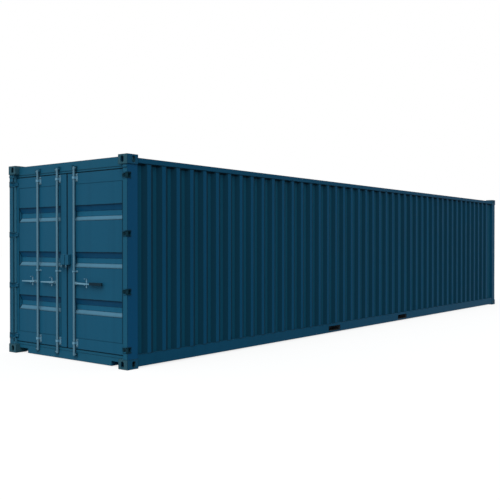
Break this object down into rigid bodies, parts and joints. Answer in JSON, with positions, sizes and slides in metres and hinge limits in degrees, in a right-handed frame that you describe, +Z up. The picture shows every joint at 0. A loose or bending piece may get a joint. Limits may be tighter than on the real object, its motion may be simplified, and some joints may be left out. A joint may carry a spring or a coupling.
{
  "type": "shipping container",
  "caption": "Long steel freight container with corrugated walls, hinged end doors with locking rods, fork pockets and corner castings.",
  "frame": {"origin": "middle of the footprint, at the ground faces of the bottom corner castings", "axes": "+X along the length from the doors to the closed end, +Y to the left of someone facing the doors, +Z up"},
  "size_m": [12.192, 2.438, 2.591],
  "materials": {
    "hull_paint": "satin paint",
    "door_paint": "satin paint",
    "underbody_paint": "matt protective coat",
    "galvanised": "zinc plated",
    "seal": "matt rubber",
    "grip": "dark paint",
    "timber": "sealed plywood"
  },
  "bodies": {
    "container": {"floor_boards": "timber", "cross_members": "underbody_paint", "left_bottom_side_rail": "hull_paint", "right_bottom_side_rail": "hull_paint", "left_top_side_rail": "hull_paint", "right_top_side_rail": "hull_paint", "fork_pockets": "underbody_paint", "bottom_corner_castings": "hull_paint", "top_corner_castings": "hull_paint", "left_door_post": "hull_paint", "right_door_post": "hull_paint", "left_front_post": "hull_paint", "right_front_post": "hull_paint", "door_header": "hull_paint", "door_sill": "hull_paint", "front_top_rail": "hull_paint", "front_bottom_rail": "hull_paint", "left_side_wall": "hull_paint", "right_side_wall": "hull_paint", "front_wall": "hull_paint", "roof": "hull_paint", "door_hinge_lugs": "door_paint", "header_keepers": "galvanised", "sill_keepers": "galvanised"},
    "left_door": {"left_door_frame": "door_paint", "left_door_panel": "door_paint", "left_door_gasket": "seal", "left_hinge_blades": "door_paint", "left_rod_brackets": "galvanised", "left_handle_catches": "galvanised", "left_lock_lug": "door_paint"},
    "right_door": {"right_door_frame": "door_paint", "right_door_panel": "door_paint", "right_door_gasket": "seal", "right_hinge_blades": "door_paint", "right_rod_brackets": "galvanised", "right_handle_catch": "galvanised", "lock_box": "door_paint"},
    "left_outer_rod": {"left_outer_lock_rod": "galvanised"},
    "left_inner_rod": {"left_inner_lock_rod": "galvanised"},
    "right_rod": {"right_lock_rod": "galvanised"},
    "left_outer_lever": {"left_outer_handle": "galvanised"},
    "left_inner_lever": {"left_inner_handle": "galvanised"},
    "right_lever": {"right_handle": "galvanised", "right_handle_grip": "grip"}
  },
  "joints": [
    {"name": "left_door_hinge", "type": "hinge", "parent": "container", "child": "left_door", "pos_m": [-6.081, 1.204, 1.289], "axis": [0, 0, -1], "range_deg": [0, 270]},
    {"name": "right_door_hinge", "type": "hinge", "parent": "container", "child": "right_door", "pos_m": [-6.081, -1.204, 1.289], "axis": [0, 0, 1], "range_deg": [0, 270]},
    {"name": "left_outer_rod_turn", "type": "hinge", "parent": "left_door", "child": "left_outer_rod", "pos_m": [-6.053, 0.60861, 1.2835], "axis": [0, 0, -1], "range_deg": [-100, 0]},
    {"name": "left_outer_handle_lift", "type": "hinge", "parent": "left_outer_rod", "child": "left_outer_lever", "pos_m": [-6.07, 0.66661, 1.007], "axis": [-1, 0, 0], "range_deg": [-10, 0]},
    {"name": "left_inner_rod_turn", "type": "hinge", "parent": "left_door", "child": "left_inner_rod", "pos_m": [-6.053, 0.18421, 1.2835], "axis": [0, 0, -1], "range_deg": [-100, 0]},
    {"name": "left_inner_handle_lift", "type": "hinge", "parent": "left_inner_rod", "child": "left_inner_lever", "pos_m": [-6.07, 0.24221, 1.007], "axis": [-1, 0, 0], "range_deg": [-10, 0]},
    {"name": "right_rod_turn", "type": "hinge", "parent": "right_door", "child": "right_rod", "pos_m": [-6.053, -0.16421, 1.2835], "axis": [0, 0, 1], "range_deg": [-100, 0]},
    {"name": "right_handle_lift", "type": "hinge", "parent": "right_rod", "child": "right_lever", "pos_m": [-6.07, -0.22221, 1.007], "axis": [1, 0, 0], "range_deg": [-10, 0]}
  ]
}
